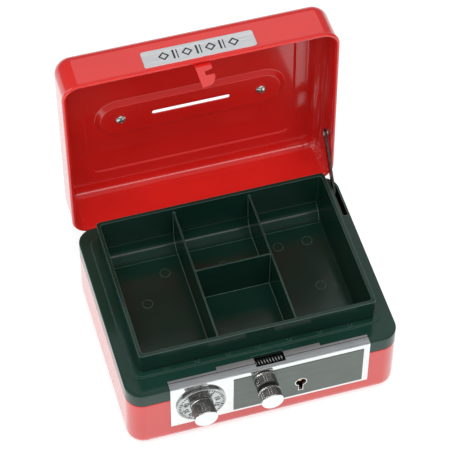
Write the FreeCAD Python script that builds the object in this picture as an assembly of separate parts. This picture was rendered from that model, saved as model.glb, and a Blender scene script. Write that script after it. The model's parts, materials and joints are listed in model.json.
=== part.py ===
"""Small steel cash box with a combination dial, a key lock and a lift-out coin tray.

Frame: origin at the centre of the underside, +X right, +Y towards the hinge, +Z up, millimetres.
The lid is shown open. Everything on the lid is drawn closed and then turned about the hinge axis.
"""
import FreeCAD
import Part
import math
import os

from FreeCAD import Vector

# ---- driving dimensions ----
WIDTH = 152.0
DEPTH = 117.5
CORNER_R = 9.5
SHEET = 0.8
FRONT = -DEPTH / 2
BACK = DEPTH / 2

BASE_H = 37.8
BASE_EDGE_R = 7.0

BAND_Z = 38.2
DECK_Z = 47.5
DECK_T = 2.0
BAND_T = 1.2
STEP_Z = 48.7
STEP_W, STEP_D = 140.2, 98.5
WELL_Y = 2.25
WELL_W, WELL_D, WELL_R = 130.0, 92.0, 5.0
NOTCH_PITCH = 17.2
POST_R = 3.2
POSTS = [(-62.0, -47.8), (62.0, -47.8), (-62.0, 51.5), (62.0, 51.5)]

TRAY_W, TRAY_D, TRAY_R = 132.2, 94.1, 2.4
TRAY_TOP = 63.7
TRAY_FLOOR = 35.5
TRAY_WALL = 1.4
DIVIDER_X = 21.8
CROSS_Y = 4.4
DIVIDER_Z = 61.0
SCOOP_R = 9.0

HINGE_Y, HINGE_Z = 57.0, 44.9
OPEN_ANGLE = 91.5
PIN_R = 1.0
KNUCKLE_R = 1.85
LEAF_X = (25.0, 45.0)
LEAF_TOP = 62.0

RIM_Z = 48.6
CURL_R = 1.25
CURL_OUT = 0.7
LID_TOP = 76.6
LID_EDGE_R = 8.5
FIELD_W, FIELD_D, FIELD_H = 122.0, 86.0, 0.8
RECESS_Y = 1.4
RECESS_L, RECESS_W, RECESS_H = 107.8, 25.0, 2.0
RECESS_SLOPE = 2.75
COIN_L, COIN_W = 44.5, 2.6

HANDLE_X = 40.4
HANDLE_Z = 80.2
HANDLE_R = 2.0
ARM_X = 49.0
ARM_LEN = 26.0

STAY_Y, STAY_Z = 28.5, 56.7
STAY_X = (72.4, 73.6)
STAY_LEN = 35.7
STAY_ANGLE = 234.1
STAY_SLOT = (71.9, 74.7, 28.5, 51.5)
STAY_TAIL = (71.9, 73.85, 51.0, 54.1)

PLATE_T = 0.8
PLATE_X = (-53.3, 58.4)
PLATE_Z = (14.0, 48.3)
INLAY_T = 0.3
INLAY_X = (-18.2, 55.0)
INLAY_Z = (15.9, 44.4)
STUDS = [(-51.3, 19.0), (-51.3, 34.0), (55.4, 19.0), (55.4, 34.0)]

DIAL_X, DIAL_Z = -36.5, 31.0
DIAL_R = 13.8
DIAL_KNOB_R = 6.5
SPINDLE_R = 1.5
RUN = 0.05
WHEEL_R = 11.0
WHEEL_T = 1.2
WHEEL_GAP = 0.6
WHEEL_Y = -56.6

KNOB_X, KNOB_Z = -1.2, 40.0
KNOB_R = 6.2
PEG_ARM = 14.5
PEG_ANGLE = -11.7
PEG_R = 1.0
BOLT_Y = (-57.0, -55.8)
BOLT_GUIDE_X = (19.5, 26.5)
BOLT_GUIDE_Z = 42.2
TRAVEL = 5.0
SPRING_R, SPRING_WIRE_R = 2.2, 0.42

KEY_X, KEY_Z = 19.8, 27.5
KEY_HOLE_R = 3.0
KEY_TRAVEL = 3.0
CASE_BACK = (-47.2, -46.2)
FENCE_X, FENCE_Z = -20.5, 17.5
LEVER_X, LEVER_Z = 31.5, 20.5

PLATE_FRONT = FRONT - PLATE_T
INLAY_FRONT = PLATE_FRONT - INLAY_T


# ---- helpers ----
def block(x, y, z):
    """A box between the two values of each pair."""
    size = Vector(x[1] - x[0], y[1] - y[0], z[1] - z[0])
    return Part.makeBox(size.x, size.y, size.z, Vector(x[0], y[0], z[0]))


def rod_x(y, z, r, x0, x1):
    return Part.makeCylinder(r, x1 - x0, Vector(x0, y, z), Vector(1, 0, 0))


def rod_y(x, z, r, y0, y1):
    return Part.makeCylinder(r, y1 - y0, Vector(x, y0, z), Vector(0, 1, 0))


def rod_z(x, y, r, z0, z1):
    return Part.makeCylinder(r, z1 - z0, Vector(x, y, z0), Vector(0, 0, 1))


def round_wire(w, d, r, z, cy=0.0):
    """A rounded rectangle in a level plane, w by d, centred on x = 0."""
    edges = []
    points = []
    for sx, sy, start in ((1, 1, 0), (-1, 1, 90), (-1, -1, 180), (1, -1, 270)):
        centre = Vector(sx * (w / 2 - r), cy + sy * (d / 2 - r), z)
        turn = [math.radians(start + a) for a in (0, 45, 90)]
        points.append([centre + Vector(r * math.cos(t), r * math.sin(t), 0) for t in turn])
    for here, after in zip(points, points[1:] + points[:1]):
        edges.append(Part.Arc(*here).toShape())
        if (after[0] - here[2]).Length > 1e-6:
            edges.append(Part.LineSegment(here[2], after[0]).toShape())
    return Part.Wire(edges)


def prism(w, d, r, z0, z1, cy=0.0):
    return Part.Face(round_wire(w, d, r, z0, cy)).extrude(Vector(0, 0, z1 - z0))


def taper(low, high, cy=0.0):
    """A loft between two rounded rectangles, each given as (w, d, r, z)."""
    wires = [round_wire(w, d, r, z, cy) for w, d, r, z in (low, high)]
    return Part.makeLoft(wires, True, True)


def plate_xz(points, y0, y1):
    """A flat plate with corners given as (x, z), between two depths."""
    corners = [Vector(x, y0, z) for x, z in points]
    face = Part.Face(Part.makePolygon(corners + corners[:1]))
    return face.extrude(Vector(0, y1 - y0, 0))


def level_edges(solid, z):
    return [e for e in solid.Edges if all(abs(v.Point.z - z) < 1e-4 for v in e.Vertexes)]


def knurl(x, z, r, y0, y1, teeth, depth):
    """A knob body along Y with fine straight flutes."""
    points = []
    for i in range(2 * teeth):
        radius = r if i % 2 else r - depth
        a = math.pi * i / teeth
        points.append((x + radius * math.cos(a), z + radius * math.sin(a)))
    return plate_xz(points, y0, y1)


def swing(shape, angle=OPEN_ANGLE):
    """Turns a lid piece from closed to open about the hinge axis."""
    shape.rotate(Vector(0, HINGE_Y, HINGE_Z), Vector(-1, 0, 0), angle)
    return shape


def join(shapes):
    whole = shapes[0]
    for s in shapes[1:]:
        whole = whole.fuse(s)
    return whole.removeSplitter()


# ---- base ----
def base_shell():
    outer = prism(WIDTH, DEPTH, CORNER_R, 0, BASE_H)
    outer = outer.makeFillet(BASE_EDGE_R, level_edges(outer, 0))
    inner = prism(WIDTH - 2 * SHEET, DEPTH - 2 * SHEET, CORNER_R - SHEET, SHEET, BASE_H + 1)
    inner = inner.makeFillet(BASE_EDGE_R - SHEET, level_edges(inner, SHEET))
    shell = outer.cut(inner)
    cup_r, cup_h = 4.4, 2.8
    for x, y in POSTS:
        shell = shell.fuse(rod_z(x, y, cup_r, 0, cup_h).common(outer))
        shell = shell.cut(rod_z(x, y, cup_r - SHEET, -1, cup_h - SHEET))
        shell = shell.cut(rod_z(x, y, 1.6, 0, cup_h + 1))
    wall = (FRONT - 1, FRONT + SHEET + 0.5)
    shell = shell.cut(rod_y(DIAL_X, DIAL_Z, 2.5, *wall))
    shell = shell.cut(block((KNOB_X - 5.8, KNOB_X + 18.0), wall, (25.5, BASE_H + 1)))
    shell = shell.cut(rod_y(KEY_X, KEY_Z, KEY_HOLE_R + 0.6, *wall))
    shell = shell.cut(block((KEY_X - 1.6, KEY_X + 1.6), wall, (19.6, KEY_Z)))
    for x, z in STUDS:
        shell = shell.cut(rod_y(x, z, 1.35, *wall))
    return shell


def frame_screws():
    screws = []
    for x, y in POSTS:
        head = rod_z(x, y, 2.8, 0.6, 2.0)
        shank = rod_z(x, y, 1.4, 2.0, 10.0)
        slot = block((x - 2.0, x + 2.0), (y - 0.35, y + 0.35), (0.5, 1.2))
        cross = block((x - 0.35, x + 0.35), (y - 2.0, y + 2.0), (0.5, 1.2))
        screws.append(head.fuse(shank).cut(slot).cut(cross).removeSplitter())
    return Part.makeCompound(screws)


# ---- top frame ----
def top_frame():
    gap = 0.3
    band = prism(WIDTH, DEPTH, CORNER_R, BAND_Z, DECK_Z)
    band = band.makeFillet(0.8, level_edges(band, DECK_Z))
    hollow = prism(WIDTH - 2 * BAND_T, DEPTH - 2 * BAND_T, CORNER_R - BAND_T, BAND_Z - 1, DECK_Z - DECK_T)
    band = band.cut(hollow)
    skirt_in = SHEET + gap
    skirt_t = 1.2
    skirt = prism(WIDTH - 2 * skirt_in, DEPTH - 2 * skirt_in, CORNER_R - skirt_in, 33.0, DECK_Z - 1)
    inside = skirt_in + skirt_t
    skirt = skirt.cut(prism(WIDTH - 2 * inside, DEPTH - 2 * inside, CORNER_R - inside, 32, DECK_Z))
    front_clear = block((-54.5, 59.0), (FRONT + BAND_T, FRONT + 4), (32, DECK_Z - DECK_T))
    front_low = block((-54.5, 59.0), (FRONT, FRONT + 4), (32, BAND_Z))
    skirt = skirt.cut(front_clear).cut(front_low)
    step = prism(STEP_W, STEP_D, 6.0, DECK_Z - 1, STEP_Z, WELL_Y)
    step = step.makeFillet(0.5, level_edges(step, STEP_Z))
    well_wall = prism(WELL_W + 3, WELL_D + 3, WELL_R + 1.5, 41.0, DECK_Z - 1, WELL_Y)
    posts = [rod_z(x, y, POST_R, 2.8, DECK_Z - 1) for x, y in POSTS]
    bosses = []
    for side in (-1, 1):
        for x0, x1 in ((LEAF_X[0] - 7, LEAF_X[0] - 0.5), (LEAF_X[1] + 0.5, LEAF_X[1] + 7)):
            span = sorted((side * x0, side * x1))
            bosses.append(block(span, (53.8, BACK - 0.5), (42.4, DECK_Z - 1)))
    frame = join([band, skirt, step, well_wall] + posts + bosses)
    frame = frame.cut(prism(WELL_W, WELL_D, WELL_R, 30, 60, WELL_Y))
    x0, x1, y0, y1 = STAY_SLOT
    frame = frame.cut(block((x0, x1), (y0, y1), (30, 60)))
    frame = frame.cut(block(STAY_TAIL[:2], STAY_TAIL[2:], (30, 60)))
    frame = frame.cut(block((70.4, x1 + 0.2), (y0 - 1, y1 + 3.0), (30, DECK_Z - DECK_T)))
    frame = frame.cut(block((-5.4, 11.6), (-57.4, -49.8), (40, 60)))
    frame = frame.cut(block((-7.0, 35.0), (FRONT - 1, FRONT + BAND_T + 0.1), (BAND_Z - 1, DECK_Z - DECK_T)))
    for side in (-1, 1):
        leaf = sorted((side * (LEAF_X[0] - 0.5), side * (LEAF_X[1] + 0.5)))
        frame = frame.cut(block(leaf, (55.0, BACK + 1), (42.5, 60)))
        pin = sorted((side * (LEAF_X[0] - 7.5), side * (LEAF_X[1] + 5.5)))
        frame = frame.cut(rod_x(HINGE_Y, HINGE_Z, PIN_R, *pin))
    for x, y in POSTS:
        frame = frame.cut(rod_z(x, y, 1.45, 2.0, 11.0))
    for i in range(-3, 4):
        x = i * NOTCH_PITCH
        frame = frame.cut(block((x - 0.9, x + 0.9), (-45.8, WELL_Y - WELL_D / 2 + 0.1), (STEP_Z - 0.9, STEP_Z + 1)))
    return frame


# ---- coin tray ----
def coin_tray():
    seat = STEP_Z + 0.05
    lip = taper((TRAY_W - 0.8, TRAY_D - 0.8, TRAY_R, seat), (TRAY_W, TRAY_D, TRAY_R, TRAY_TOP), WELL_Y)
    body = taper((126.4, 88.3, 3.6, 34.0), (128.6, 90.5, 4.0, seat + 0.5), WELL_Y)
    inner_low = (123.6, 85.5, 1.8, TRAY_FLOOR)
    inner_top = (127.8, 89.7, 1.7, TRAY_TOP + 0.01)
    hollow = taper(inner_low, inner_top, WELL_Y)
    back = WELL_Y + 85.5 / 2
    scoop = block((-62.5, 62.5), (back - SCOOP_R, back + 1.2), (TRAY_FLOOR - 0.5, TRAY_FLOOR + SCOOP_R))
    scoop = scoop.cut(rod_x(back - SCOOP_R, TRAY_FLOOR + SCOOP_R, SCOOP_R, -63, 63))
    ribs = [scoop]
    t = TRAY_WALL / 2
    for side in (-1, 1):
        x = side * DIVIDER_X
        ribs.append(block((x - t, x + t), (-43.0, 47.5), (TRAY_FLOOR - 0.5, DIVIDER_Z)))
    ribs.append(block((-DIVIDER_X, DIVIDER_X), (CROSS_Y - t, CROSS_Y + t), (TRAY_FLOOR - 0.5, DIVIDER_Z)))
    shell = lip.fuse(body).cut(hollow)
    ribs = join(ribs).common(lip.fuse(body))
    return shell.fuse(ribs).removeSplitter()


# ---- lid, drawn closed ----
def lid_shell():
    outer = prism(WIDTH, DEPTH, CORNER_R, RIM_Z + CURL_R, LID_TOP)
    outer = outer.makeFillet(LID_EDGE_R, level_edges(outer, LID_TOP))
    outer = outer.fuse(taper((FIELD_W, FIELD_D, 8.0, LID_TOP - 0.05), (FIELD_W - 1.6, FIELD_D - 1.6, 7.2,
                                                                       LID_TOP + FIELD_H)))
    inner = prism(WIDTH - 2 * SHEET, DEPTH - 2 * SHEET, CORNER_R - SHEET, RIM_Z - 1, LID_TOP - SHEET)
    inner = inner.makeFillet(LID_EDGE_R - SHEET, level_edges(inner, LID_TOP - SHEET))
    inner = inner.fuse(taper((FIELD_W - 1.0, FIELD_D - 1.0, 7.5, LID_TOP - SHEET - 0.05),
                             (FIELD_W - 2.6, FIELD_D - 2.6, 6.7, LID_TOP + FIELD_H - SHEET)))
    shell = outer.cut(inner)
    face = LID_TOP + FIELD_H
    floor_l, floor_w = RECESS_L - 2 * RECESS_SLOPE, RECESS_W - 2 * RECESS_SLOPE
    under = taper((floor_l + 1, floor_w + 1, floor_w / 2 + 0.49, face - RECESS_H - SHEET),
                  (RECESS_L + 1, RECESS_W + 1, RECESS_W / 2 + 0.49, face - 0.3), RECESS_Y)
    shell = shell.fuse(under)
    dish = taper((floor_l, floor_w, floor_w / 2 - 0.01, face - RECESS_H),
                 (RECESS_L + 0.02, RECESS_W + 0.02, RECESS_W / 2, face + 0.01), RECESS_Y)
    shell = shell.cut(dish)
    coin = prism(COIN_L, COIN_W, COIN_W / 2 - 0.01, 70, 80, RECESS_Y)
    shell = shell.cut(coin)
    for side in (-1, 1):
        shell = shell.cut(rod_z(side * HANDLE_X, RECESS_Y, 1.35, 70, 80))
    reach = CURL_R - CURL_OUT
    path = round_wire(WIDTH - 2 * reach, DEPTH - 2 * reach, CORNER_R - reach, RIM_Z + CURL_R)
    start = path.Edges[1].valueAt(path.Edges[1].FirstParameter)
    along = path.Edges[1].tangentAt(path.Edges[1].FirstParameter)
    ring = Part.Wire(Part.makeCircle(CURL_R, start, along))
    curl = Part.Wire(path.Edges[1:] + path.Edges[:1]).makePipeShell([ring], True, True)
    shell = shell.fuse(curl)
    for side in (-1, 1):
        leaf = sorted((side * (LEAF_X[0] - 0.8), side * (LEAF_X[1] + 0.8)))
        shell = shell.cut(block(leaf, (BACK, BACK + 2), (RIM_Z - 1, RIM_Z + 3)))
    shell = shell.cut(rod_x(STAY_Y, STAY_Z, 1.25, WIDTH / 2 - 2, WIDTH / 2 + 1))
    return swing(shell)


def hinge_leaf(side):
    """A strap welded flat on the lid's back wall, joggled in to a rolled knuckle."""
    span = sorted((side * LEAF_X[0], side * LEAF_X[1]))
    near, far = BACK + 0.05, BACK + 0.85
    knuckle_in, knuckle_out = HINGE_Y + PIN_R + RUN, HINGE_Y + KNUCKLE_R
    profile = [(knuckle_in, HINGE_Z), (knuckle_out, HINGE_Z), (knuckle_out, 46.3), (far, 47.7),
               (far, LEAF_TOP), (near, LEAF_TOP), (near, 48.1), (knuckle_in, 46.7)]
    corners = [Vector(span[0], y, z) for y, z in profile]
    strap = Part.Face(Part.makePolygon(corners + corners[:1])).extrude(Vector(span[1] - span[0], 0, 0))
    ends = block(span, (near - 1, far + 1), (LEAF_TOP - 3.0, LEAF_TOP))
    for x in span:
        inward = 1 if x == span[0] else -1
        ends = ends.cut(block(sorted((x, x + 3.0 * inward)), (near - 2, far + 2), (LEAF_TOP - 3.1, LEAF_TOP + 1)))
        ends = ends.fuse(rod_y(x + 3.0 * inward, LEAF_TOP - 3.0, 3.0, near - 1, far + 1))
    body = block(span, (HINGE_Y - 4, far + 1), (HINGE_Z - 4, LEAF_TOP - 3.0))
    strap = strap.common(body.fuse(ends))
    strap = strap.fuse(rod_x(HINGE_Y, HINGE_Z, KNUCKLE_R, *span))
    strap = strap.cut(rod_x(HINGE_Y, HINGE_Z, PIN_R + RUN, span[0] - 1, span[1] + 1))
    return swing(strap.removeSplitter())


def hinge_pin(side):
    span = sorted((side * (LEAF_X[0] - 7.0), side * (LEAF_X[1] + 5.0)))
    return rod_x(HINGE_Y, HINGE_Z, PIN_R, *span)


def lid_tongue():
    near = FRONT + SHEET
    far = near + SHEET
    off = 1.15
    profile = [(near, 63.0), (near, 54.0), (near + off, 52.4), (near + off, 32.4),
               (far + off, 32.4), (far + off, 52.8), (far, 54.4), (far, 63.0)]
    corners = [Vector(-9, y, z) for y, z in profile]
    sheet = Part.Face(Part.makePolygon(corners + corners[:1])).extrude(Vector(18, 0, 0))
    left, right, low, r = -4.6, 4.2, 32.4, 7.6
    depth = (near - 1, far + off + 1)
    pad = block((-9, 9), depth, (54.0, 63.0))
    stem = block((left, right), depth, (low, 54.0))
    corner = block((right - r, right + 1), depth, (low - 1, low + r))
    corner = corner.cut(rod_y(right - r, low + r, r, *depth))
    throat = [(-0.5, 40.3), (right + 1, 40.3), (right + 1, 45.1), (-0.5, 43.4)]
    corners = [Vector(x, depth[0], z) for x, z in throat]
    notch = Part.Face(Part.makePolygon(corners + corners[:1])).extrude(Vector(0, depth[1] - depth[0], 0))
    blank = pad.fuse(stem).cut(corner).cut(notch)
    return swing(sheet.common(blank).removeSplitter())


def lid_label():
    centre_x, w, h = 0.4, 61.8, 11.8
    face = Part.Face(round_wire(w, h, 1.5, 0))
    label = face.extrude(Vector(0, 0, 0.4))
    label.rotate(Vector(0, 0, 0), Vector(1, 0, 0), 90)
    label.translate(Vector(centre_x, FRONT, 51.8 + h / 2))
    return swing(label)


# ---- handle ----
def handle_post(side):
    x = side * HANDLE_X
    floor = LID_TOP + FIELD_H - RECESS_H
    half = 4.5
    post = block((x - half, x + half), (RECESS_Y - half, RECESS_Y + half), (floor, HANDLE_Z + 3.2))
    upper = [e for e in post.Edges if all(abs(v.Point.z - HANDLE_Z - 3.2) < 1e-6 for v in e.Vertexes)]
    across = [e for e in upper if abs(e.Vertexes[0].Point.y - e.Vertexes[1].Point.y) < 1e-6]
    post = post.makeFillet(3.0, across)
    post = post.cut(rod_x(RECESS_Y, HANDLE_Z, HANDLE_R + RUN, x - 6, x + 6))
    post = post.cut(rod_z(x, RECESS_Y, 1.25, floor - 1, 77.6))
    return swing(post)


def handle_screws():
    screws = []
    under = LID_TOP + FIELD_H - RECESS_H - SHEET
    for side in (-1, 1):
        x = side * HANDLE_X
        head = Part.makeSphere(4.4, Vector(x, RECESS_Y, under + 2.6))
        head = head.common(rod_z(x, RECESS_Y, 3.0, under - 2.0, under))
        shank = rod_z(x, RECESS_Y, 1.25, under, 77.5)
        slot = block((x - 1.9, x + 1.9), (RECESS_Y - 0.35, RECESS_Y + 0.35), (under - 3, under - 0.9))
        cross = block((x - 0.35, x + 0.35), (RECESS_Y - 1.9, RECESS_Y + 1.9), (under - 3, under - 0.9))
        screws.append(swing(head.fuse(shank).cut(slot).cut(cross).removeSplitter()))
    return Part.makeCompound(screws)


def handle_bail():
    r_in, r_out = 3.0, 7.0
    end = RECESS_Y + ARM_LEN
    corner = math.sqrt(0.5)

    def at(x, y):
        return Vector(x, y, HANDLE_Z)

    edges = []
    for side in (1, -1):
        inner = at(side * (ARM_X - r_in), RECESS_Y)
        bend = at(side * (ARM_X - r_in + r_in * corner), RECESS_Y + r_in - r_in * corner)
        low = at(side * ARM_X, RECESS_Y + r_in)
        high = at(side * ARM_X, end - r_out)
        turn = at(side * (ARM_X - r_out + r_out * corner), end - r_out + r_out * corner)
        top = at(side * (ARM_X - r_out), end)
        run = [Part.LineSegment(at(side * 36.4, RECESS_Y), inner).toShape(), Part.Arc(inner, bend, low).toShape(),
               Part.LineSegment(low, high).toShape(), Part.Arc(high, turn, top).toShape()]
        edges.append(run)
    bar = Part.LineSegment(at(ARM_X - r_out, end), at(r_out - ARM_X, end)).toShape()
    path = Part.Wire(Part.__sortEdges__(edges[0] + [bar] + edges[1]))
    ring = Part.Wire(Part.makeCircle(HANDLE_R, at(36.4, RECESS_Y), Vector(1, 0, 0)))
    bail = path.makePipeShell([ring], True, True)
    bail.rotate(Vector(0, RECESS_Y, HANDLE_Z), Vector(1, 0, 0), OPEN_ANGLE - 90)
    return swing(bail)


# ---- lid stay, drawn with the lid open ----
def stay_pivot():
    """Where the rivet stands once the lid is open, as (y, z)."""
    spot = swing(Part.Vertex(0, STAY_Y, STAY_Z)).Point
    return spot.y, spot.z


def stay_arm():
    y, z = stay_pivot()
    half = 2.2
    x0, x1 = STAY_X
    bar = block((x0, x1), (y, y + STAY_LEN), (z - half, z + half))
    bar = bar.fuse(rod_x(y, z, half, x0, x1)).fuse(rod_x(y + STAY_LEN, z, half, x0, x1))
    bar = bar.cut(rod_x(y, z, 1.3, x0 - 1, x1 + 1))
    lug = rod_x(y + STAY_LEN, z, 1.2, x0 - 2.0, x0 + 0.1)
    arm = bar.fuse(lug).removeSplitter()
    arm.rotate(Vector(0, y, z), Vector(1, 0, 0), STAY_ANGLE)
    return arm


def stay_rivet():
    wall = WIDTH / 2
    inner_head = rod_x(STAY_Y, STAY_Z, 2.4, STAY_X[0] - 0.95, STAY_X[0] - 0.05)
    shank = rod_x(STAY_Y, STAY_Z, 1.25, STAY_X[0] - 0.1, wall)
    collar = rod_x(STAY_Y, STAY_Z, 2.2, STAY_X[1] + 0.05, wall - SHEET)
    outer_head = rod_x(STAY_Y, STAY_Z, 2.4, wall, wall + 0.7)
    return swing(join([inner_head, shank, collar, outer_head]))


# ---- lock plate and outside controls ----
def lock_plate():
    front = block(PLATE_X, (PLATE_FRONT, FRONT), PLATE_Z)
    lip = block(PLATE_X, (PLATE_FRONT, -53.4), (DECK_Z, PLATE_Z[1]))
    tab = block((-26.0, 32.0), (-54.0, -51.4), (DECK_Z, PLATE_Z[1]))
    plate = join([front, lip, tab])
    bend = [e for e in plate.Edges if all(abs(v.Point.z - PLATE_Z[1]) < 1e-6 and
                                          abs(v.Point.y - PLATE_FRONT) < 1e-6 for v in e.Vertexes)]
    plate = plate.makeFillet(0.7, bend)
    plate = plate.cut(block((-4.9, 11.5), (-57.4, -50.0), (DECK_Z - 1, DECK_Z + 2)))
    hole = (PLATE_FRONT - 1, FRONT + 1)
    plate = plate.cut(rod_y(DIAL_X, DIAL_Z, SPINDLE_R + 0.2, *hole))
    plate = plate.cut(rod_y(KNOB_X, KNOB_Z, 3.0, *hole))
    plate = plate.cut(rod_y(KEY_X, KEY_Z, KEY_HOLE_R, *hole))
    plate = plate.cut(block((KEY_X - 1.1, KEY_X + 1.1), hole, (20.4, KEY_Z)))
    studs = [rod_y(x, z, 1.25, FRONT, -54.6) for x, z in STUDS]
    return join([plate] + studs)


def lock_faceplate():
    sheet = block(INLAY_X, (INLAY_FRONT, PLATE_FRONT), INLAY_Z)
    hole = (INLAY_FRONT - 1, PLATE_FRONT + 1)
    sheet = sheet.cut(rod_y(KNOB_X, KNOB_Z, 3.0, *hole))
    sheet = sheet.cut(rod_y(KEY_X, KEY_Z, KEY_HOLE_R, *hole))
    return sheet.cut(block((KEY_X - 1.1, KEY_X + 1.1), hole, (20.4, KEY_Z)))


def dial_disc():
    disc = rod_y(DIAL_X, DIAL_Z, DIAL_R, PLATE_FRONT - 1.8, PLATE_FRONT - 0.2)
    front = [e for e in disc.Edges if abs(e.BoundBox.YMin - PLATE_FRONT + 1.8) < 1e-6
             and abs(e.BoundBox.YMax - PLATE_FRONT + 1.8) < 1e-6]
    disc = disc.makeChamfer(0.5, front)
    return disc.cut(rod_y(DIAL_X, DIAL_Z, SPINDLE_R, -70, -50))


def dial_knob():
    back = PLATE_FRONT - 1.8
    knob = knurl(DIAL_X, DIAL_Z, DIAL_KNOB_R, back - 9.7, back, 32, 0.35)
    return knob.cut(rod_y(DIAL_X, DIAL_Z, SPINDLE_R, back - 7.0, back + 1))


def dial_spindle():
    return rod_y(DIAL_X, DIAL_Z, SPINDLE_R, PLATE_FRONT - 8.5, CASE_BACK[1])


def knob_bushing():
    body = knurl(KNOB_X, KNOB_Z, KNOB_R, INLAY_FRONT - 7.4, INLAY_FRONT, 30, 0.35)
    neck = rod_y(KNOB_X, KNOB_Z, 3.0, INLAY_FRONT - 0.5, FRONT)
    return body.fuse(neck).cut(rod_y(KNOB_X, KNOB_Z, SPINDLE_R + RUN, -80, -50))


def release_knob():
    start = INLAY_FRONT - 7.5
    neck = rod_y(KNOB_X, KNOB_Z, KNOB_R - 1.0, start - 2.0, start)
    head = knurl(KNOB_X, KNOB_Z, KNOB_R, start - 8.6, start - 1.8, 30, 0.35)
    return neck.fuse(head).cut(rod_y(KNOB_X, KNOB_Z, SPINDLE_R, start - 6.5, start + 1))


def peg_spot():
    a = math.radians(PEG_ANGLE)
    return KNOB_X + PEG_ARM * math.cos(a), KNOB_Z + PEG_ARM * math.sin(a)


def release_spindle():
    """The knob's shaft, with the crank arm and peg that drive the latch bolt."""
    shaft = rod_y(KNOB_X, KNOB_Z, SPINDLE_R, INLAY_FRONT - 14.0, -57.6)
    arm = (-58.6, -57.6)
    x, z = peg_spot()
    half = 1.9
    bar = block((KNOB_X, KNOB_X + PEG_ARM), arm, (KNOB_Z - half, KNOB_Z + half))
    bar.rotate(Vector(KNOB_X, 0, KNOB_Z), Vector(0, 1, 0), -PEG_ANGLE)
    hub = rod_y(KNOB_X, KNOB_Z, 3.2, *arm)
    tip = rod_y(x, z, half, *arm)
    peg = rod_y(x, z, PEG_R, arm[1] - 0.1, BOLT_Y[1] + 0.2)
    return join([shaft, hub, bar, tip, peg])


# ---- combination lock ----
def wheel(index):
    """One combination wheel. It has a true gate and a false gate opposite."""
    y0 = WHEEL_Y + index * (WHEEL_T + WHEEL_GAP)
    disc = rod_y(DIAL_X, DIAL_Z, WHEEL_R, y0, y0 + WHEEL_T)
    for side in (-1, 1):
        gate = sorted((DIAL_X + side * (WHEEL_R - 3.0), DIAL_X + side * (WHEEL_R + 1)))
        disc = disc.cut(block(gate, (y0 - 1, y0 + WHEEL_T + 1), (DIAL_Z - 2.5, DIAL_Z + 2.5)))
    bore = SPINDLE_R if index == 0 else SPINDLE_R + RUN
    disc = disc.cut(rod_y(DIAL_X, DIAL_Z, bore, y0 - 1, y0 + WHEEL_T + 1))
    if index < 2:
        disc = disc.fuse(rod_y(DIAL_X, DIAL_Z + 7.0, 0.9, y0 + WHEEL_T - 0.1, y0 + WHEEL_T + 0.45))
    return disc


def spacer_washers():
    rings = []
    for index in (0, 1):
        y0 = WHEEL_Y + index * (WHEEL_T + WHEEL_GAP) + WHEEL_T
        ring = rod_y(DIAL_X, DIAL_Z, 3.4, y0, y0 + WHEEL_GAP)
        rings.append(ring.cut(rod_y(DIAL_X, DIAL_Z, SPINDLE_R + 2 * RUN, y0 - 1, y0 + 2)))
    return Part.makeCompound(rings)


def fence_lever():
    outline = [(-22.4, 15.8), (-18.6, 15.8), (-18.0, 31.0), (-16.0, 40.5), (-19.0, 41.0), (-21.8, 33.4),
               (-24.4, 33.0), (-24.4, 29.0), (-22.0, 28.6)]
    lever = plate_xz(outline, -50.9, -49.7)
    lever = lever.fuse(block((-24.8, -22.4), (-56.7, -49.7), (29.8, 32.2)))
    return lever.cut(rod_y(FENCE_X, FENCE_Z, 1.35, -60, -40)).removeSplitter()


def fence_pivot():
    collar = rod_y(FENCE_X, FENCE_Z, 2.2, -49.6, CASE_BACK[0])
    return collar.fuse(rod_y(FENCE_X, FENCE_Z, 1.3, -51.6, CASE_BACK[1])).removeSplitter()


# ---- latch and key lock ----
def latch_bolt():
    x, z = peg_spot()
    body = block((10.0, 34.0), BOLT_Y, (36.8, 44.8))
    nose = block((5.2, 10.1), BOLT_Y, (40.5, 42.9))
    leg = block((10.0, 16.6), BOLT_Y, (25.3, 37.0))
    tab = block((12.0, 13.0), (BOLT_Y[0], -50.8), (41.2, 44.8))
    bolt = join([body, nose, leg, tab])
    play = 0.72
    slot = block((x - PEG_R - play, x + PEG_R + play), (-60, -50), (26.8, z + PEG_R + 0.3))
    guide = block((BOLT_GUIDE_X[0] - 1.3, BOLT_GUIDE_X[1] + TRAVEL + 1.3), (-60, -50),
                  (BOLT_GUIDE_Z - 1.2, BOLT_GUIDE_Z + 1.2))
    bolt = bolt.cut(slot).cut(guide)
    for shift in (0.0, TRAVEL):
        bolt = bolt.cut(block((20.6 + shift, 24.0 + shift), (-60, -50), (36, 39.6)))
    return bolt


def bolt_guide_studs():
    studs = []
    for x in BOLT_GUIDE_X:
        collar = rod_y(x, BOLT_GUIDE_Z, 2.1, BOLT_Y[1] + 0.1, CASE_BACK[0])
        pin = rod_y(x, BOLT_GUIDE_Z, 1.15, BOLT_Y[0] - 0.1, CASE_BACK[1])
        cap = rod_y(x, BOLT_GUIDE_Z, 1.9, BOLT_Y[0] - 0.6, BOLT_Y[0] - 0.1)
        studs.append(join([collar, pin, cap]))
    return Part.makeCompound(studs)


def latch_spring():
    """Extension coil that draws the latch bolt towards the tongue, with a straight end at each tab."""
    start, end, turns = -5.0, 11.0, 10
    length = end - start
    tail_r = SPRING_WIRE_R - 0.04
    helix = Part.makeHelix(length / turns, length, SPRING_R)
    ring = Part.Wire(Part.makeCircle(SPRING_WIRE_R, Vector(SPRING_R, 0, 0), Vector(0, 1, 0)))
    coil = Part.Wire(helix).makePipeShell([ring], True, True)
    near_tail = Part.makeCylinder(tail_r, 1.5, Vector(SPRING_R, 0, -1.2), Vector(0, 0, 1))
    far_tail = Part.makeCylinder(tail_r, 1.3, Vector(SPRING_R, 0, length - 0.3), Vector(0, 0, 1))
    spring = coil.fuse(near_tail).fuse(far_tail)
    spring.rotate(Vector(0, 0, 0), Vector(0, 1, 0), 90)
    spring.translate(Vector(start, -53.0, 44.2))
    return spring


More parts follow.
